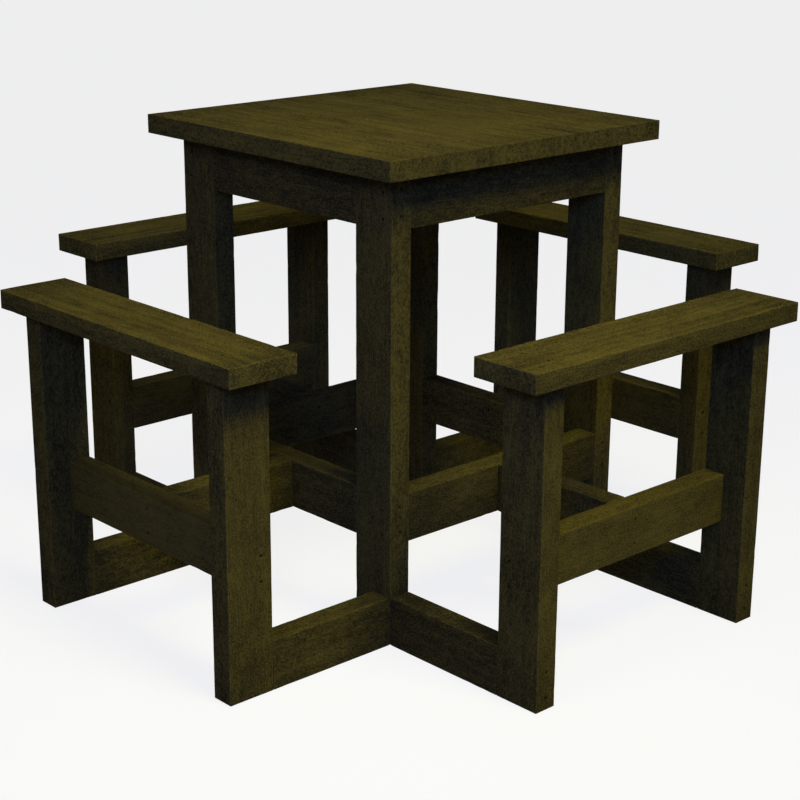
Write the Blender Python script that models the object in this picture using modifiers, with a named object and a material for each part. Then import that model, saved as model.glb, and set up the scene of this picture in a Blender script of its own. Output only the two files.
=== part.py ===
"""Square picnic table with four fixed bench seats, framed in one section of timber.

Frame: metres, +Z up, origin on the ground under the middle of the table.
The front bench stands towards -Y, the left one towards -X.  Every rail, leg and
stretcher is one section; every top and seat board is another.  Boards butt
against each other and are drilled and countersunk for pairs of screws.
"""

import math
from collections import namedtuple

import bmesh
import bpy
from mathutils import Matrix, Vector

# Overall sizes
TABLE_HEIGHT = 0.750
SEAT_HEIGHT = 0.510
TOP_SIDE = 0.573
FRAME_SIDE = 0.494          # outside of the table legs
BENCH_REACH = 0.551         # middle of the table to the outer edge of a bench leg

# Timber sections
RAIL_WIDTH = 0.078
RAIL_THICKNESS = 0.038
APRON_WIDTH = 0.081
BOARD_THICKNESS = 0.030
SEAT_WIDTH = 0.116
TOP_BOARD_COUNT = 5
TOP_BOARD_GAP = 0.0006
MID_RAIL_BOTTOM = 0.160
ARRIS = 0.0015              # planed-off edges
BUTT_GAP = 0.0003           # left where one board meets another

# Screw holes
COUNTERSINK_RADIUS = 0.0028
COUNTERSINK_DEPTH = 0.0030
HOLE_RADIUS = 0.0019
TIP_LENGTH = 0.0050
RECESS = 0.0020             # straight bore above the countersink
HOLE_SIDES = 6
HOLE_DEPTHS = {"deck": 0.047, "short": 0.077, "long": 0.122}
HOLE_PITCH = RAIL_WIDTH / 2
DECK_HOLE_PITCH = 0.048
STAGGER = 0.005             # short holes in a leg sit lower, clear of the long ones they cross
APRON_END_HOLE = 0.019      # from the apron's end to the hole for an outer top board
CUT_OVERRUN = 0.001

# Places worked out from the sizes above
HALF_TOP = TOP_SIDE / 2
HALF_FRAME = FRAME_SIDE / 2
RAIL_LINE = HALF_FRAME - RAIL_THICKNESS / 2
TOP_UNDERSIDE = TABLE_HEIGHT - BOARD_THICKNESS
SEAT_UNDERSIDE = SEAT_HEIGHT - BOARD_THICKNESS
APRON_BOTTOM = TOP_UNDERSIDE - APRON_WIDTH
APRON_CENTRE = TOP_UNDERSIDE - APRON_WIDTH / 2
MID_RAIL_TOP = MID_RAIL_BOTTOM + RAIL_WIDTH
MID_RAIL_CENTRE = MID_RAIL_BOTTOM + RAIL_WIDTH / 2
FLOOR_RAIL_CENTRE = RAIL_WIDTH / 2
BENCH_INNER_EDGE = BENCH_REACH - RAIL_WIDTH
STRETCHER_LINE = BENCH_INNER_EDGE + RAIL_THICKNESS / 2
SEAT_LINE = BENCH_REACH - RAIL_WIDTH / 2

X_AXIS = Vector((1, 0, 0))
Y_AXIS = Vector((0, 1, 0))
Z_AXIS = Vector((0, 0, 1))

BOARD_COLOUR = (0.062, 0.049, 0.011)    # linear RGB
BOARD_ROUGHNESS = 0.75

Hole = namedtuple("Hole", "kind matrix boards")
holes = []


def clear_scene():
    for old in list(bpy.data.objects):
        bpy.data.objects.remove(old, do_unlink=True)


def new_collection(name):
    collection = bpy.data.collections.new(name)
    bpy.context.scene.collection.children.link(collection)
    return collection


def give_material(piece):
    material = bpy.data.materials.new(piece.name)
    material.use_nodes = True
    shader = material.node_tree.nodes["Principled BSDF"]
    shader.inputs["Base Color"].default_value = (*BOARD_COLOUR, 1.0)
    shader.inputs["Roughness"].default_value = BOARD_ROUGHNESS
    shader.inputs["Metallic"].default_value = 0.0
    piece.data.materials.clear()
    piece.data.materials.append(material)


def board(name, x_range, y_range, z_range, parent=None):
    """A planed board between three pairs of faces, with its edges eased."""
    low = Vector((min(x_range), min(y_range), min(z_range)))
    high = Vector((max(x_range), max(y_range), max(z_range)))
    bpy.ops.mesh.primitive_cube_add(size=1)
    piece = bpy.context.active_object
    piece.name = name
    piece.data.name = name
    piece.data.transform(Matrix.Diagonal((*(high - low), 1)))
    piece.location = (low + high) / 2
    piece.parent = parent
    easing = piece.modifiers.new("eased_edges", "BEVEL")
    easing.width = ARRIS
    easing.segments = 1
    bpy.context.collection.objects.unlink(piece)
    parts.objects.link(piece)
    give_material(piece)
    return piece


def drill(kind, point, direction, boards, place=Matrix()):
    """One screw hole that starts at `point` and runs along `direction` through `boards`."""
    turn = (-Z_AXIS).rotation_difference(direction).to_matrix().to_4x4()
    holes.append(Hole(kind, place @ Matrix.Translation(point) @ turn, boards))


def drill_pair(kind, middle, direction, boards, spread=Z_AXIS, pitch=HOLE_PITCH, place=Matrix()):
    """Two holes side by side."""
    for side in (-1, 1):
        drill(kind, middle + spread * side * pitch / 2, direction, boards, place)


def drill_short_pair(middle, direction, boards, place=Matrix()):
    """Two short holes through a leg, lowered to pass the long ones."""
    drill_pair("short", middle - Z_AXIS * STAGGER, direction, boards, place=place)


def make_table_legs():
    for x_side, x_name in ((-1, "left"), (1, "right")):
        for y_side, y_name in ((-1, "front"), (1, "back")):
            board(
                f"table_leg_{y_name}_{x_name}",
                (x_side * HALF_FRAME, x_side * (HALF_FRAME - RAIL_THICKNESS)),
                (y_side * HALF_FRAME, y_side * (HALF_FRAME - RAIL_WIDTH)),
                (0, TOP_UNDERSIDE - BUTT_GAP),
            )


def make_frame_rails(kind, bottom, top, centre):
    """A ring of four rails between the table legs, with the holes through the legs."""
    half_x = HALF_FRAME - RAIL_THICKNESS - BUTT_GAP
    half_y = HALF_FRAME - RAIL_WIDTH - BUTT_GAP
    for side, name in ((-1, "front"), (1, "back")):
        face = (side * HALF_FRAME, side * (HALF_FRAME - RAIL_THICKNESS))
        board(f"{kind}_{name}", (-half_x, half_x), face, (bottom, top))
    for side, name in ((-1, "left"), (1, "right")):
        face = (side * HALF_FRAME, side * (HALF_FRAME - RAIL_THICKNESS))
        board(f"{kind}_{name}", face, (-half_y, half_y), (bottom, top))
    for x_side, x_name in ((-1, "left"), (1, "right")):
        for y_side, y_name in ((-1, "front"), (1, "back")):
            leg = f"table_leg_{y_name}_{x_name}"
            through_face = Vector((x_side * HALF_FRAME, y_side * RAIL_LINE, centre))
            through_edge = Vector((x_side * RAIL_LINE, y_side * HALF_FRAME, centre))
            drill_short_pair(through_face, -x_side * X_AXIS, (leg, f"{kind}_{y_name}"))
            drill_pair("long", through_edge, -y_side * Y_AXIS, (leg, f"{kind}_{x_name}"))


def make_top():
    """Boards side by side, each drilled to be screwed down at both ends."""
    pitch = (TOP_SIDE + TOP_BOARD_GAP) / TOP_BOARD_COUNT
    width = pitch - TOP_BOARD_GAP
    last = TOP_BOARD_COUNT - 1
    for index in range(TOP_BOARD_COUNT):
        left = -HALF_TOP + index * pitch
        name = f"top_board_{index + 1}"
        board(name, (left, left + width), (-HALF_TOP, HALF_TOP), (TOP_UNDERSIDE, TABLE_HEIGHT))
        for y_side, y_name in ((-1, "front"), (1, "back")):
            line = y_side * RAIL_LINE
            if 0 < index < last:
                middle = Vector((left + width / 2, line, TABLE_HEIGHT))
                drill_pair(
                    "deck", middle, -Z_AXIS, (name, f"apron_{y_name}"),
                    spread=X_AXIS, pitch=DECK_HOLE_PITCH,
                )
                continue
            # An outer board is held by the leg and by the end of the apron beside it.
            x_side, x_name = (-1, "left") if index == 0 else (1, "right")
            on_apron = HALF_FRAME - RAIL_THICKNESS - APRON_END_HOLE
            on_leg = on_apron + DECK_HOLE_PITCH
            leg = f"table_leg_{y_name}_{x_name}"
            for distance, support in ((on_leg, leg), (on_apron, f"apron_{y_name}")):
                point = Vector((x_side * distance, line, TABLE_HEIGHT))
                drill("deck", point, -Z_AXIS, (name, support))


def make_bench(name, quarter_turns):
    """One bench and the rails that tie it to the table, drawn as the front one and turned."""
    hub = bpy.data.objects.new(f"bench_{name}", None)
    parts.objects.link(hub)
    hub.rotation_euler.z = quarter_turns * math.pi / 2
    turn = Matrix.Rotation(quarter_turns * math.pi / 2, 4, "Z")
    seat, stretcher, link_rail = f"seat_{name}", f"bench_stretcher_{name}", f"link_rail_{name}"

    seat_y = (-SEAT_LINE - SEAT_WIDTH / 2, -SEAT_LINE + SEAT_WIDTH / 2)
    board(seat, (-HALF_TOP, HALF_TOP), seat_y, (SEAT_UNDERSIDE, SEAT_HEIGHT), hub)

    mid_z = (MID_RAIL_BOTTOM, MID_RAIL_TOP)
    half_stretcher = HALF_FRAME - RAIL_THICKNESS - BUTT_GAP
    stretcher_y = (-BENCH_INNER_EDGE - RAIL_THICKNESS, -BENCH_INNER_EDGE)
    board(stretcher, (-half_stretcher, half_stretcher), stretcher_y, mid_z, hub)

    link_y = (-BENCH_INNER_EDGE + BUTT_GAP, -HALF_FRAME - BUTT_GAP)
    board(link_rail, (-RAIL_THICKNESS / 2, RAIL_THICKNESS / 2), link_y, mid_z, hub)

    outer = Vector((0, -BENCH_INNER_EDGE - RAIL_THICKNESS, MID_RAIL_CENTRE))
    inner = Vector((0, -HALF_FRAME + RAIL_THICKNESS, MID_RAIL_CENTRE))
    drill_pair("short", outer, Y_AXIS, (stretcher, link_rail), place=turn)
    drill_pair("short", inner, -Y_AXIS, (f"mid_rail_{name}", link_rail), place=turn)

    for side, hand in ((-1, "a"), (1, "b")):
        leg, floor_rail = f"bench_leg_{name}_{hand}", f"floor_rail_{name}_{hand}"
        thickness = (side * HALF_FRAME, side * (HALF_FRAME - RAIL_THICKNESS))
        board(leg, thickness, (-BENCH_REACH, -BENCH_INNER_EDGE), (0, SEAT_UNDERSIDE - BUTT_GAP), hub)
        board(floor_rail, thickness, link_y, (0, RAIL_WIDTH), hub)

        seat_point = Vector((side * RAIL_LINE, -SEAT_LINE, SEAT_HEIGHT))
        drill_pair(
            "deck", seat_point, -Z_AXIS, (seat, leg),
            spread=Y_AXIS, pitch=DECK_HOLE_PITCH, place=turn,
        )
        leg_face = Vector((side * HALF_FRAME, -STRETCHER_LINE, MID_RAIL_CENTRE))
        drill_short_pair(leg_face, -side * X_AXIS, (leg, stretcher), place=turn)
        leg_edge = Vector((side * RAIL_LINE, -BENCH_REACH, FLOOR_RAIL_CENTRE))
        drill_pair("long", leg_edge, Y_AXIS, (leg, floor_rail), place=turn)
        drill_table_foot(turn, side, floor_rail)


def drill_table_foot(turn, side, floor_rail):
    """Holes from inside a table leg into the floor rail, through the leg's face or its edge."""
    corner = turn @ Vector((side * RAIL_LINE, -RAIL_LINE, FLOOR_RAIL_CENTRE))
    outward = turn @ -Y_AXIS
    along_x = abs(outward.x) > abs(outward.y)
    depth = RAIL_THICKNESS if along_x else RAIL_WIDTH
    x_name = "left" if corner.x < 0 else "right"
    y_name = "front" if corner.y < 0 else "back"
    start = corner + outward * (RAIL_THICKNESS / 2 - depth)
    boards = (f"table_leg_{y_name}_{x_name}", floor_rail)
    if along_x:
        drill_short_pair(start, outward, boards)
    else:
        drill_pair("long", start, outward, boards)


def turned_mesh(name, profile):
    """A solid of revolution about Z from (radius, height) points, top to bottom."""
    outline = bpy.data.meshes.new(f"{name}_profile")
    points = [(radius, 0, height) for radius, height in profile]
    edges = [(index, index + 1) for index in range(len(points) - 1)]
    outline.from_pydata(points, edges, [])
    blank = bpy.data.objects.new(f"{name}_profile", outline)
    bpy.context.scene.collection.objects.link(blank)
    lathe = blank.modifiers.new("lathe", "SCREW")
    lathe.steps = HOLE_SIDES
    lathe.render_steps = HOLE_SIDES
    lathe.use_merge_vertices = True
    lathe.merge_threshold = 0.0001
    bpy.context.view_layer.update()
    mesh = bpy.data.meshes.new_from_object(blank.evaluated_get(bpy.context.evaluated_depsgraph_get()))
    mesh.name = name
    bpy.data.objects.remove(blank)
    return mesh


def hole_mesh(kind):
    """The drill's shape: a straight mouth, a countersink, the shank's bore and a point."""
    depth = HOLE_DEPTHS[kind]
    return turned_mesh(f"{kind}_hole", (
        (0, CUT_OVERRUN),
        (COUNTERSINK_RADIUS, CUT_OVERRUN),
        (COUNTERSINK_RADIUS, -RECESS),
        (HOLE_RADIUS, -RECESS - COUNTERSINK_DEPTH),
        (HOLE_RADIUS, -depth + TIP_LENGTH),
        (0, -depth),
    ))


def joined_copies(name, placed_meshes):
    """One mesh holding a separate closed copy for each (mesh, matrix) pair."""
    joined = bmesh.new()
    for mesh, matrix in placed_meshes:
        start = len(joined.verts)
        joined.from_mesh(mesh)
        joined.verts.ensure_lookup_table()
        bmesh.ops.transform(joined, matrix=matrix, verts=joined.verts[start:])
    result = bpy.data.meshes.new(name)
    joined.to_mesh(result)
    joined.free()
    return result


def drill_boards():
    """Cut each board for all the holes that pass through it or end in it."""
    meshes = {kind: hole_mesh(kind) for kind in HOLE_DEPTHS}
    bpy.context.view_layer.update()
    for piece in list(parts.objects):
        members = [(meshes[hole.kind], hole.matrix) for hole in holes if piece.name in hole.boards]
        if not members:
            continue
        name = f"{piece.name}_holes"
        cutter = bpy.data.objects.new(name, joined_copies(name, members))
        cutters.objects.link(cutter)
        cutter.hide_render = True
        cutter.display_type = "WIRE"
        drilling = piece.modifiers.new("screw_holes", "BOOLEAN")
        drilling.operation = "DIFFERENCE"
        drilling.object = cutter


clear_scene()
parts = new_collection("picnic_table")
cutters = new_collection("cutters")
make_table_legs()
make_frame_rails("apron", APRON_BOTTOM, TOP_UNDERSIDE - BUTT_GAP, APRON_CENTRE)
make_frame_rails("mid_rail", MID_RAIL_BOTTOM, MID_RAIL_TOP, MID_RAIL_CENTRE)
make_top()
for turns, bench_name in enumerate(("front", "right", "back", "left")):
    make_bench(bench_name, turns)
drill_boards()
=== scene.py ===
"""Looks of the square picnic table: planed, oiled softwood boards and dark countersunk screws.

Every board is rebuilt from its node's box with eased, slightly worn arrises and round,
countersunk holes, and the grain of its material runs along that board.  Each joint's
screws are one piece.  Frame: metres, +Z up, the front bench towards -Y.
"""

import math
import random

import bmesh
import bpy
from mathutils import Matrix, Vector, noise


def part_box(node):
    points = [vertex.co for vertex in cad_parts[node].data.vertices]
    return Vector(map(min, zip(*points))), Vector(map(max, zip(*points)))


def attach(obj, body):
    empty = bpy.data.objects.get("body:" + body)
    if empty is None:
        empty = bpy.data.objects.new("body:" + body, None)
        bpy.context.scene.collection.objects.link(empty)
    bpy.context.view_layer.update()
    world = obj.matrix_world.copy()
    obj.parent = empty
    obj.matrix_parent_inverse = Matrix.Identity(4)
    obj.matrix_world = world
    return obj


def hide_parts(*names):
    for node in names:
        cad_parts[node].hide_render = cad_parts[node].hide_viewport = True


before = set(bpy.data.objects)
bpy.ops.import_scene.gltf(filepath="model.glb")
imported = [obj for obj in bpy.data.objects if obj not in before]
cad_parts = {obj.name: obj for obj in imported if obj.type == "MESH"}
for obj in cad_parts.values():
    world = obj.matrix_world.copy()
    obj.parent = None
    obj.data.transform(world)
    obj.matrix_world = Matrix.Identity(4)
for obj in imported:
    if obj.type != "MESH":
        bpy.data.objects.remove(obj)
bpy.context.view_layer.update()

# Boards
ARRIS = 0.0012              # radius of an eased edge
TOP_ARRIS = 0.0006          # tighter on the top boards, laid edge to edge
ARRIS_SEGMENTS = 3
HOLDING_STRIP = 0.0012      # narrow strip of face that keeps the flat from shading round
LENGTH_STEP = 0.011
WIDTH_STEP = 0.015
FACE_WAVE = 0.00012         # how far planing leaves a face below true
ARRIS_WEAR = 0.00035
DENT_DEPTH = 0.0011
DENT_LEVEL = 0.28
WAVE_SIZE = 0.050
DENT_SIZE = 0.017

DECK_FAMILIES = ("seat_", "top_board_")
HEART_INSET = 0.036         # from a deck board's edge to its darker heart line
TONE_SPREAD = 0.03          # boards sawn from different logs differ a little
TONE_SEED = 7
# Painted light and shade: a brightness shift for each family of boards, so each family comes out as
# bright as it looks under the light; aprons, mid rails and floor rails are painted darker where they
# sit in shade, stretchers, top boards and seats lighter.
FAMILY_PAINTED_LIGHT_AND_SHADE = {
    "bench_stretcher_": 0.17, "apron_": -0.15, "mid_rail_": -0.10, "floor_rail_": -0.11,
    "top_board_": 0.08, "seat_": 0.02,
}
WOOD_DARK = (0.019, 0.0150, 0.0035)
FRAME_LIGHT = (0.087, 0.068, 0.0105)
DECK_LIGHT = (0.091, 0.071, 0.0105)
WOOD_SHARP_ANGLE = 40       # degrees
STEEL_SHARP_ANGLE = 35

# Screws and their holes
PITCH = 0.039
DECK_PITCH = 0.048
STAGGER = 0.005             # short screws in a leg sit lower, clear of the long ones they cross
THIN = 0.050                # a board thinner than this along the screw takes a short one
TOUCHING = 0.001
HOLE_RADIUS = 0.0028
BORE_RADIUS = 0.0019
SINK = 0.0020               # from the face down to the screw's head
COUNTERSINK = 0.0030
HOLE_SIDES = 20
CUT_OVERRUN = 0.001
HOLE_DEPTHS = {"deck": 0.047, "short": 0.077, "long": 0.122}
HEAD_RADIUS = 0.0026
RIM_RADIUS = HEAD_RADIUS * 0.93
RIM_HEIGHT = 0.0002
HEAD_EDGE = 0.0003
SHANK_RADIUS = 0.0014
THREAD_ROOT = SHANK_RADIUS * 0.85
POINT_RADIUS = SHANK_RADIUS * 0.08
TIP_CLEARANCE = 0.0015      # left between the screw's point and the bottom of its hole
THREAD_HEIGHT = 0.00042
THREAD_PITCH = 0.0028
THREAD_SHARE = 0.62         # of the screw's length
SCREW_SIDES = 8
RINGS_PER_TURN = 3
POINT_LENGTH = 0.0045
RECESS_DEPTH = 0.0016
RECESS_SPAN = 0.0032
RECESS_WIDTH = 0.0008
RECESS_TAPER = 0.45

# Camera
CAMERA_PLACE = Vector((-1.9398, -2.1003, 1.1822))
CAMERA_AZIMUTH = math.radians(-42.707)
CAMERA_ELEVATION = math.radians(17.493)
CAMERA_ROLL = math.radians(0.342)
CAMERA_LENS = 81.36
SENSOR_WIDTH = 36

# Light and floor
SOFT_BOXES = (              # name, place, aim, width, spread in degrees, watts, colour
    ("key_light", (-0.25, -3.3, 4.96), (-0.50, -0.75, 0.45), 2.2, 36, 16.9, (1.0, 0.93, 0.25)),
    ("top_light", (-0.4, -0.8, 4.4), (-0.2, -0.3, 0.5), 1.2, 60, 5.3, (0.85, 0.90, 1.0)),
    ("side_light", (-3.2, -0.6, 2.6), (-0.6, -0.1, 0.4), 1.2, 60, 1.9, (1.0, 0.81, 0.10)),
    ("cool_fill", (-2.6, -2.6, 2.0), (0, 0, 0.4), 1.0, 60, 12.8, (0.083, 0.18, 1.0)),
)
AMBIENT = (0.144, 0.145, 0.21, 1.0)
REFLECTED = (0.03, 0.03, 0.03, 1.0)
BACKGROUND = (0.82, 0.82, 0.82, 1.0)
FLOOR_HALF_SIDE = 40.0
FLOOR_DROP = 0.0005         # keeps the floor clear of the boards that stand on it
FLOOR_COLOUR = (0.10, 0.10, 0.10, 1.0)
FLOOR_GLOW = 0.84

X_AXIS = Vector((1, 0, 0))
Y_AXIS = Vector((0, 1, 0))
Z_AXIS = Vector((0, 0, 1))
AXES = (X_AXIS, Y_AXIS, Z_AXIS)

boxes = {name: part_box(name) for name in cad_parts}
holes_of = {name: [] for name in boxes}     # board name: [(kind, matrix of the hole)]


# ---------------------------------------------------------------- joints

def side_touched(first, second):
    """The direction in which `second` butts against `first`, or None if they don't meet."""
    (low_a, high_a), (low_b, high_b) = boxes[first], boxes[second]
    gaps = [max(low_a[i] - high_b[i], low_b[i] - high_a[i]) for i in range(3)]
    meeting = [i for i in range(3) if -TOUCHING < gaps[i] < TOUCHING]
    if len(meeting) != 1 or max(gaps) > TOUCHING:
        return None
    axis = meeting[0]
    return AXES[axis] * (1 if low_b[axis] > low_a[axis] else -1)


def shared_middle(first, second):
    """The middle of the space that two boxes share, seen along each axis."""
    (low_a, high_a), (low_b, high_b) = boxes[first], boxes[second]
    return Vector([(max(low_a[i], low_b[i]) + min(high_a[i], high_b[i])) / 2 for i in range(3)])


def start_on_face(board, direction, middle):
    """`middle` moved to the face of the board that a screw along `direction` enters."""
    low, high = boxes[board]
    start = middle.copy()
    for i in range(3):
        if direction[i]:
            start[i] = low[i] if direction[i] > 0 else high[i]
    return start


def drill(kind, point, direction, boards):
    """Note one hole for the boards it passes through, and return where its screw goes."""
    turn = (-Z_AXIS).rotation_difference(direction).to_matrix().to_4x4()
    place = Matrix.Translation(point) @ turn
    for board in boards:
        holes_of[board].append((kind, place))
    return kind, place


def joint_screws(first, second):
    """The pair of screws driven through `first` into `second`."""
    direction = side_touched(first, second)
    middle = start_on_face(first, direction, shared_middle(first, second))
    low, high = boxes[first]
    if direction.z:
        kind, pitch = "deck", DECK_PITCH
        spread = X_AXIS if high.x - low.x < high.y - low.y else Y_AXIS
    else:
        thickness = abs((high - low).dot(direction))
        kind = "short" if thickness < THIN else "long"
        spread, pitch = Z_AXIS, PITCH
    if kind == "short" and "_leg_" in first:
        middle = middle - Z_AXIS * STAGGER
    return [
        drill(kind, middle + spread * side * pitch / 2, direction, (first, second))
        for side in (-1, 1)
    ]


def outer_deck_screws(board, apron, leg):
    """One screw into the end of the apron, and one a pitch further out into the leg."""
    on_apron = start_on_face(board, -Z_AXIS, shared_middle(board, apron))
    outward = X_AXIS * math.copysign(DECK_PITCH, on_apron.x)
    return [
        drill("deck", on_apron, -Z_AXIS, (board, apron)),
        drill("deck", on_apron + outward, -Z_AXIS, (board, leg)),
    ]


def find_joints():
    """{piece name: its screws} for every pair of boards that screws hold together."""
    families = (
        ("table_leg_", "apron_"), ("table_leg_", "mid_rail_"), ("table_leg_", "floor_rail_"),
        ("bench_leg_", "floor_rail_"), ("bench_leg_", "bench_stretcher_"),
        ("bench_stretcher_", "link_rail_"), ("mid_rail_", "link_rail_"), ("seat_", "bench_leg_"),
    )
    joints = {}
    for first_kind, second_kind in families:
        for first in sorted(n for n in boxes if n.startswith(first_kind)):
            for second in sorted(n for n in boxes if n.startswith(second_kind)):
                if side_touched(first, second):
                    joints[f"screws.{first}.{second}"] = joint_screws(first, second)
    deck = sorted(n for n in boxes if n.startswith("top_board_"))
    for end in ("front", "back"):
        apron = f"apron_{end}"
        for board in deck[1:-1]:
            joints[f"screws.{board}.{apron}"] = joint_screws(board, apron)
        for board, hand in ((deck[0], "left"), (deck[-1], "right")):
            leg = f"table_leg_{end}_{hand}"
            joints[f"screws.{board}.{apron}"] = outer_deck_screws(board, apron, leg)
    return joints


# ---------------------------------------------------------------- meshes

def board_axes(node):
    """A turn whose columns are a board's length, width and thickness, and its size that way."""
    low, high = boxes[node]
    size = high - low
    order = sorted(range(3), key=lambda i: -size[i])
    length, width = AXES[order[0]], AXES[order[1]]
    turn = Matrix((length, width, length.cross(width))).transposed()
    return turn, Vector([size[i] for i in order]), (low + high) / 2


def subdivide_along(bm, axis, step):
    """Cut the long edges that run along an axis into pieces of about `step`."""
    edges = []
    for edge in bm.edges:
        run = edge.verts[1].co - edge.verts[0].co
        if run.length > step and abs(run[axis]) > 0.999 * run.length:
            edges.append(edge)
    if edges:
        cuts = round(max(edge.calc_length() for edge in edges) / step) - 1
        bmesh.ops.subdivide_edges(bm, edges=edges, cuts=max(cuts, 1), use_grid_fill=True)


def wear(bm, half, arris, seed):
    """Mark the arrises, round them unevenly, dent them here and there and wave the faces."""
    mark = bm.verts.layers.float.new("arris")
    shift = Vector((seed * 1.7, seed * 0.9, seed * 2.3))
    for vert in bm.verts:
        outward = Vector([
            math.copysign(1, vert.co[i]) if abs(vert.co[i]) > half[i] - arris * 1.01 else 0
            for i in range(3)
        ])
        on_arris = outward.length_squared > 1.5
        vert[mark] = 1.0 if on_arris else 0.0
        wave = 0.5 + 0.5 * noise.noise(vert.co / WAVE_SIZE + shift)
        depth = FACE_WAVE * wave
        if on_arris:
            dent = max(0.0, noise.noise(vert.co / DENT_SIZE - shift) - DENT_LEVEL)
            depth = (ARRIS_WEAR * wave + DENT_DEPTH * dent) * arris / ARRIS
        vert.co -= outward.normalized() * depth


def board_mesh(name, size, arris, seed):
    """A board about its own middle: length along X, width along Y, its faces and arrises worn."""
    bm = bmesh.new()
    bmesh.ops.create_cube(bm, size=1)
    bmesh.ops.scale(bm, vec=size, verts=bm.verts)
    bmesh.ops.bevel(
        bm, geom=bm.edges[:], offset=arris, offset_type="OFFSET", segments=ARRIS_SEGMENTS,
        profile=0.5, affect="EDGES",
    )
    half = size / 2
    for i in range(3):
        for side in (-1, 1):
            plane = AXES[i] * side * (half[i] - arris - HOLDING_STRIP)
            everything = bm.verts[:] + bm.edges[:] + bm.faces[:]
            bmesh.ops.bisect_plane(bm, geom=everything, plane_co=plane, plane_no=AXES[i])
    subdivide_along(bm, 0, LENGTH_STEP)
    subdivide_along(bm, 1, WIDTH_STEP)
    subdivide_along(bm, 2, WIDTH_STEP)
    wear(bm, half, arris, seed)
    mesh = bpy.data.meshes.new(name)
    bm.to_mesh(mesh)
    bm.free()
    return mesh


def lathe(name, rings, sides):
    """A closed solid from rings of (height, radius at each corner), top to bottom."""
    bm = bmesh.new()
    loops = []
    for height, radii in rings:
        loop = []
        for corner, radius in enumerate(radii):
            angle = 2 * math.pi * corner / sides
            loop.append(bm.verts.new((radius * math.cos(angle), radius * math.sin(angle), height)))
        loops.append(loop)
    for upper, lower in zip(loops, loops[1:]):
        for corner in range(sides):
            beside = (corner + 1) % sides
            bm.faces.new((upper[corner], lower[corner], lower[beside], upper[beside]))
    bm.faces.new(loops[0])
    bm.faces.new(reversed(loops[-1]))
    mesh = bpy.data.meshes.new(name)
    bm.to_mesh(mesh)
    bm.free()
    return mesh


def hole_cutter(kind):
    """The space of one countersunk hole, from just above the face down to its pointed end."""
    depth = HOLE_DEPTHS[kind]
    profile = (
        (CUT_OVERRUN, HOLE_RADIUS), (-SINK, HOLE_RADIUS), (-SINK - COUNTERSINK, BORE_RADIUS),
        (-depth + POINT_LENGTH, BORE_RADIUS), (-depth, BORE_RADIUS / 4),
    )
    rings = [(height, [radius] * HOLE_SIDES) for height, radius in profile]
    return lathe(f"hole_{kind}", rings, HOLE_SIDES)


def cut(mesh, cutter):
    """The mesh less the cutter's volume."""
    blank = bpy.data.objects.new("blank", mesh)
    tool = bpy.data.objects.new("tool", cutter)
    for each in (blank, tool):
        bpy.context.scene.collection.objects.link(each)
    boolean = blank.modifiers.new("cut", "BOOLEAN")
    boolean.operation = "DIFFERENCE"
    boolean.object = tool
    bpy.context.view_layer.update()
    evaluated = blank.evaluated_get(bpy.context.evaluated_depsgraph_get())
    result = bpy.data.meshes.new_from_object(evaluated)
    result.name = mesh.name
    for each in (blank, tool):
        bpy.data.objects.remove(each)
    return result


def joined(name, placed):
    """One mesh from (mesh, matrix) pairs."""
    bm = bmesh.new()
    for mesh, matrix in placed:
        start = len(bm.verts)
        bm.from_mesh(mesh)
        bm.verts.ensure_lookup_table()
        bmesh.ops.transform(bm, matrix=matrix, verts=bm.verts[start:])
    result = bpy.data.meshes.new(name)
    bm.to_mesh(result)
    bm.free()
    return result


def screw_mesh(kind):
    """A countersunk wood screw with a cross recess, its thread cut to a point."""
    tip = -HOLE_DEPTHS[kind] + TIP_CLEARANCE
    neck = -SINK - COUNTERSINK
    rings = [
        (-SINK, [RIM_RADIUS] * SCREW_SIDES),
        (-SINK - RIM_HEIGHT, [HEAD_RADIUS] * SCREW_SIDES),
        (-SINK - RIM_HEIGHT - HEAD_EDGE, [HEAD_RADIUS] * SCREW_SIDES),
        (neck, [SHANK_RADIUS] * SCREW_SIDES),
    ]
    thread_start = tip * THREAD_SHARE if kind == "deck" else tip * (1 - THREAD_SHARE)
    thread_start = min(thread_start, neck - THREAD_PITCH)
    step = THREAD_PITCH / RINGS_PER_TURN
    height = thread_start
    while height > tip + step:
        taper = min(1.0, (height - tip) / POINT_LENGTH)
        radii = []
        for corner in range(SCREW_SIDES):
            turn = (height / THREAD_PITCH + corner / SCREW_SIDES) % 1
            crest = max(0.0, 1 - abs(turn - 0.5) * 4)
            radii.append(taper * (THREAD_ROOT + THREAD_HEIGHT * crest))
        rings.append((height, radii))
        height -= step
    rings.append((tip, [POINT_RADIUS] * SCREW_SIDES))
    mesh = lathe(f"screw_{kind}", rings, SCREW_SIDES)
    for span, width in ((RECESS_SPAN, RECESS_WIDTH), (RECESS_WIDTH, RECESS_SPAN)):
        mesh = cut(mesh, recess_arm(span, width))
    return mesh


def recess_arm(span, width):
    """One arm of the driver's recess, narrower at the bottom."""
    bm = bmesh.new()
    bmesh.ops.create_cube(bm, size=1)
    for vert in bm.verts:
        deep = vert.co.z < 0
        vert.co.x *= span * (RECESS_TAPER if deep and span > width else 1)
        vert.co.y *= width * (RECESS_TAPER if deep and width > span else 1)
        vert.co.z = -SINK - RECESS_DEPTH if deep else 0
    mesh = bpy.data.meshes.new("recess")
    bm.to_mesh(mesh)
    bm.free()
    return mesh


def finish_mesh(mesh, material, sharp_angle):
    """Give the mesh its material, smooth, with edges sharper than the angle left sharp."""
    mesh.materials.clear()
    mesh.materials.append(material)
    mesh.shade_smooth()
    mesh.set_sharp_from_angle(angle=math.radians(sharp_angle))


# ---------------------------------------------------------------- materials

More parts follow.
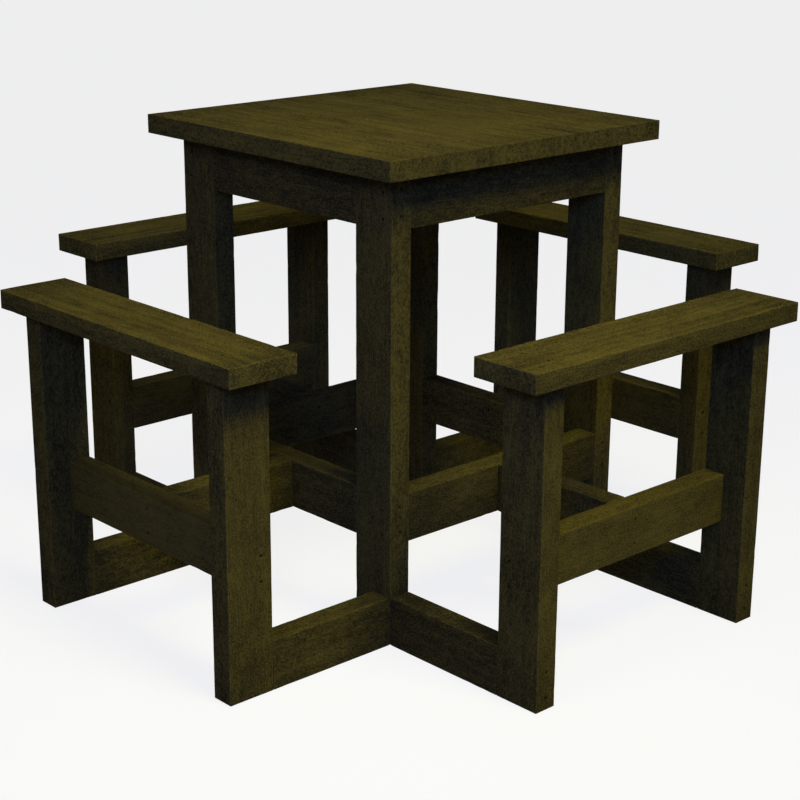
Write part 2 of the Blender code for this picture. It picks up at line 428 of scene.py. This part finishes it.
class Graph:
    """Short ways to add shader nodes to one material."""

    def __init__(self, name):
        self.material = bpy.data.materials.new(name)
        self.material.use_nodes = True
        self.tree = self.material.node_tree
        self.shader = self.tree.nodes["Principled BSDF"]

    def node(self, kind, inputs=(), **settings):
        made = self.tree.nodes.new(f"ShaderNode{kind}")
        for key, value in settings.items():
            setattr(made, key, value)
        for key, value in dict(inputs).items():
            self.feed(made.inputs[key], value)
        return made

    def feed(self, socket, value):
        if isinstance(value, bpy.types.NodeSocket):
            self.tree.links.new(value, socket)
        else:
            socket.default_value = value

    def math(self, operation, first, second=0.0):
        return self.node("Math", {0: first, 1: second}, operation=operation).outputs[0]

    def vector(self, operation, first, second):
        return self.node("VectorMath", {0: first, 1: second}, operation=operation).outputs[0]

    def attribute(self, name, of="OBJECT"):
        return self.node("Attribute", attribute_name=name, attribute_type=of)

    def noise(self, place, stretch, size, detail=2.0, roughness=0.5):
        """Noise from -1 to 1, mostly within a third of that, with features of `size` metres."""
        scaled = self.vector("MULTIPLY", place, stretch)
        inputs = {"Vector": scaled, "Scale": 1 / size, "Detail": detail, "Roughness": roughness}
        value = self.node("TexNoise", inputs, noise_dimensions="3D").outputs["Fac"]
        return self.node("Math", {0: value, 1: 2.0, 2: -1.0}, operation="MULTIPLY_ADD").outputs[0]

    def ramp(self, value, start, end, low=0.0, high=1.0):
        """`value` mapped smoothly from start..end to low..high, and held there outside it."""
        inputs = {"Value": value, "From Min": start, "From Max": end, "To Min": low, "To Max": high}
        return self.node("MapRange", inputs, interpolation_type="SMOOTHSTEP").outputs[0]

    def mixed(self, share, first, second):
        """A colour from `first` to `second` as `share` goes from 0 to 1."""
        node = self.node("Mix", data_type="RGBA", clamp_factor=True)
        self.feed(node.inputs[0], share)
        self.feed(node.inputs[6], (*first, 1.0))
        self.feed(node.inputs[7], (*second, 1.0))
        return node.outputs[2]

    def total(self, *terms):
        """The sum of (value, weight) pairs."""
        result = 0.0
        for value, weight in terms:
            node = self.node("Math", {0: value, 1: weight, 2: result}, operation="MULTIPLY_ADD")
            result = node.outputs[0]
        return result


def timber(name, light, dark, deck):
    """Oiled softwood: mottled, streaked along the board's own length, with painted shade towards its
    ends and painted light and shade for each family of boards.
    """
    g = Graph(name)
    coordinates = g.node("TexCoord")
    place = coordinates.outputs["Object"]
    shifted = g.vector("ADD", place, g.attribute("grain_shift").outputs["Vector"])
    half_length = g.attribute("half_length").outputs["Fac"]
    half_width = g.attribute("half_width").outputs["Fac"]
    # The board's own random tone plus the painted light and shade set for its family.
    tone_and_painted_light = g.attribute("tone_and_painted_light").outputs["Fac"]
    arris = g.attribute("arris", of="GEOMETRY").outputs["Fac"]
    along, across, _ = g.node("SeparateXYZ", {0: place}).outputs[:3]
    facing = g.node("SeparateXYZ", {0: coordinates.outputs["Normal"]}).outputs[0]
    end_face = g.ramp(g.math("ABSOLUTE", facing), 0.6, 0.8)
    long_face = g.math("SUBTRACT", 1.0, end_face)

    speckle = g.noise(shifted, (0.65, 1, 1), 0.0024, 1, 0.6)
    mottle = g.noise(shifted, (0.55, 1, 1), 0.0090, 2, 0.6)
    fibre = g.noise(shifted, (0.06, 1, 1), 0.0022, 2, 0.6)
    streak = g.noise(shifted, (0.045, 1, 1), 0.014, 2)
    cloud = g.noise(shifted, (0.5, 1, 1), 0.040, 2)
    band = g.noise(shifted, (1, 0, 0), 0.085, 1)
    end_blotch = g.noise(shifted, (1, 1, 1), 0.007, 3, 0.65)

    # Painted shade: the long faces darken over the last 110 mm towards each end of the board.
    from_end = g.math("SUBTRACT", half_length, g.math("ABSOLUTE", along))
    painted_end_shade = g.ramp(from_end, 0.110, 0.0)
    long_pattern = g.total(
        (speckle, 0.82), (mottle, 0.28 if deck else 0.38),
        (fibre, 0.34), (streak, 0.34 if deck else 0.20), (cloud, 0.28), (band, 0.14),
        (painted_end_shade, -0.13),
    )
    if deck:
        from_heart = g.total((across, 1.0), (half_width, 1.0), (cloud, 0.012), (1.0, -HEART_INSET))
        heart = g.ramp(g.math("ABSOLUTE", from_heart), 0.009, 0.001)
        patches = g.ramp(g.noise(shifted, (1, 0.3, 0.3), 0.055, 1), -0.25, 0.45, 0.35, 1.0)
        long_pattern = g.total((g.math("MULTIPLY", heart, patches), -0.24), (long_pattern, 1.0))
    end_pattern = g.total((end_blotch, 0.80), (speckle, 0.80), (cloud, 0.4))
    pattern = g.total(
        (g.math("MULTIPLY", long_pattern, long_face), 1.0),
        (g.math("MULTIPLY", end_pattern, end_face), 1.0),
        (end_face, -0.06), (arris, 0.10), (tone_and_painted_light, 1.0),
    )
    g.feed(g.shader.inputs["Base Color"], g.mixed(g.ramp(pattern, -0.62, 0.62), dark, light))

    oiled = g.total((speckle, 0.5), (streak, 0.5))
    g.feed(g.shader.inputs["Roughness"], g.ramp(oiled, -0.4, 0.4, 0.88, 0.70))
    g.feed(g.shader.inputs["Specular IOR Level"], 0.08)
    relief = g.total((fibre, 0.4), (speckle, 0.7), (mottle, 0.3))
    bump = g.node("Bump", {"Strength": 0.60, "Distance": 0.0008, "Height": relief})
    g.feed(g.shader.inputs["Normal"], bump.outputs["Normal"])
    return g.material


def screw_steel():
    """Brown-black coated steel, dulled in patches."""
    g = Graph("screw_steel")
    place = g.node("TexCoord").outputs["Object"]
    patch = g.noise(place, (1, 1, 1), 0.0011, 3, 0.6)
    grit = g.noise(place, (1, 1, 1), 0.0003, 2)
    colour = g.mixed(g.ramp(patch, -0.1, 0.5), (0.008, 0.006, 0.002), (0.024, 0.013, 0.004))
    g.feed(g.shader.inputs["Base Color"], colour)
    g.feed(g.shader.inputs["Metallic"], 0.4)
    g.feed(g.shader.inputs["Specular IOR Level"], 0.1)
    g.feed(g.shader.inputs["Roughness"], g.ramp(patch, -0.4, 0.4, 0.45, 0.75))
    bump = g.node("Bump", {"Strength": 0.3, "Distance": 0.00005, "Height": grit})
    g.feed(g.shader.inputs["Normal"], bump.outputs["Normal"])
    return g.material


# ---------------------------------------------------------------- pieces

def add_piece(name, mesh):
    piece = bpy.data.objects.new(name, mesh)
    bpy.context.scene.collection.objects.link(piece)
    return piece


def make_boards(frame_material, deck_material):
    cutters = {kind: hole_cutter(kind) for kind in HOLE_DEPTHS}
    draw = random.Random(TONE_SEED)
    for seed, node in enumerate(sorted(boxes), 1):
        turn, size, middle = board_axes(node)
        place = Matrix.Translation(middle) @ turn.to_4x4()
        arris = TOP_ARRIS if node.startswith("top_board_") else ARRIS
        mesh = board_mesh(f"{node}_board", size, arris, seed)
        into_board = place.inverted()
        members = [(cutters[kind], into_board @ matrix) for kind, matrix in holes_of[node]]
        mesh = cut(mesh, joined("holes", members))
        deck = node.startswith(DECK_FAMILIES)
        finish_mesh(mesh, deck_material if deck else frame_material, WOOD_SHARP_ANGLE)
        piece = add_piece(f"{node}_board", mesh)
        piece.matrix_world = place
        piece["grain_shift"] = [draw.uniform(0, 40) for _ in range(3)]
        piece["half_length"] = size.x / 2
        piece["half_width"] = size.y / 2
        # Painted light and shade set for the board's family, plus the board's own random tone.
        family = next((kind for kind in FAMILY_PAINTED_LIGHT_AND_SHADE if node.startswith(kind)), None)
        piece["tone_and_painted_light"] = FAMILY_PAINTED_LIGHT_AND_SHADE.get(family, 0.0) + draw.uniform(-TONE_SPREAD, TONE_SPREAD)
        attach(piece, "root")
        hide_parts(node)


def make_screws(joints, material):
    meshes = {kind: screw_mesh(kind) for kind in HOLE_DEPTHS}
    for name, screws in joints.items():
        middle = sum((place.translation for _, place in screws), Vector()) / len(screws)
        place = Matrix.Translation(middle)
        mesh = joined(name, [(meshes[kind], place.inverted() @ matrix) for kind, matrix in screws])
        finish_mesh(mesh, material, STEEL_SHARP_ANGLE)
        piece = add_piece(name, mesh)
        piece.matrix_world = place
        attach(piece, "root")


# ---------------------------------------------------------------- stage

def make_floor():
    """A pale sweep, a little lit from within so that it stays plain round the shadows."""
    bm = bmesh.new()
    bmesh.ops.create_grid(bm, x_segments=8, y_segments=8, size=FLOOR_HALF_SIDE)
    mesh = bpy.data.meshes.new("floor")
    bm.to_mesh(mesh)
    bm.free()
    g = Graph("pale_floor")
    g.feed(g.shader.inputs["Base Color"], FLOOR_COLOUR)
    g.feed(g.shader.inputs["Roughness"], 1.0)
    g.feed(g.shader.inputs["Specular IOR Level"], 0.0)
    g.feed(g.shader.inputs["Emission Color"], (1.0, 1.0, 1.0, 1.0))
    g.feed(g.shader.inputs["Emission Strength"], FLOOR_GLOW)
    mesh.materials.append(g.material)
    floor = bpy.data.objects.new("floor", mesh)
    floor.location.z = -FLOOR_DROP
    floor.visible_diffuse = False
    floor.visible_glossy = False
    bpy.context.scene.collection.objects.link(floor)


def make_world():
    """Dim, slightly cool light from all round, dimmer in reflections, and a pale background."""
    world = bpy.data.worlds.new("studio")
    world.use_nodes = True
    tree = world.node_tree
    rays = tree.nodes.new("ShaderNodeLightPath")
    seen = tree.nodes["Background"]
    seen.inputs["Color"].default_value = AMBIENT
    for ray, colour in (("Is Glossy Ray", REFLECTED), ("Is Camera Ray", BACKGROUND)):
        background = tree.nodes.new("ShaderNodeBackground")
        background.inputs["Color"].default_value = colour
        choice = tree.nodes.new("ShaderNodeMixShader")
        tree.links.new(rays.outputs[ray], choice.inputs[0])
        tree.links.new(seen.outputs[0], choice.inputs[1])
        tree.links.new(background.outputs[0], choice.inputs[2])
        seen = choice
    tree.links.new(seen.outputs[0], tree.nodes["World Output"].inputs["Surface"])
    bpy.context.scene.world = world


def soft_box(name, place, aim, width, spread, power, colour):
    """A round area light at `place`, turned towards `aim`."""
    light = bpy.data.lights.new(name, "AREA")
    light.color = colour
    light.shape = "DISK"
    light.size = width
    light.spread = math.radians(spread)
    light.energy = power
    lamp = bpy.data.objects.new(name, light)
    lamp.location = place
    lamp.rotation_euler = (Vector(aim) - Vector(place)).to_track_quat("-Z", "Y").to_euler()
    lamp.visible_camera = False
    bpy.context.scene.collection.objects.link(lamp)


def make_camera():
    data = bpy.data.cameras.new("camera")
    data.lens = CAMERA_LENS
    data.sensor_width = SENSOR_WIDTH
    camera = bpy.data.objects.new("camera", data)
    bpy.context.scene.collection.objects.link(camera)
    level = math.cos(CAMERA_ELEVATION)
    back = Vector((
        math.sin(CAMERA_AZIMUTH) * level, -math.cos(CAMERA_AZIMUTH) * level, math.sin(CAMERA_ELEVATION),
    ))
    right = Z_AXIS.cross(back).normalized()
    turn = Matrix((right, back.cross(right), back)).transposed()
    roll = Matrix.Rotation(CAMERA_ROLL, 3, "Z")
    camera.matrix_world = Matrix.Translation(CAMERA_PLACE) @ (turn @ roll).to_4x4()
    bpy.context.scene.camera = camera


make_camera()
make_world()
make_floor()
for box in SOFT_BOXES:
    soft_box(*box)
bpy.context.scene.view_settings.view_transform = "Standard"

joints = find_joints()
make_boards(
    timber("frame_timber", FRAME_LIGHT, WOOD_DARK, deck=False),
    timber("board_timber", DECK_LIGHT, WOOD_DARK, deck=True),
)
make_screws(joints, screw_steel())
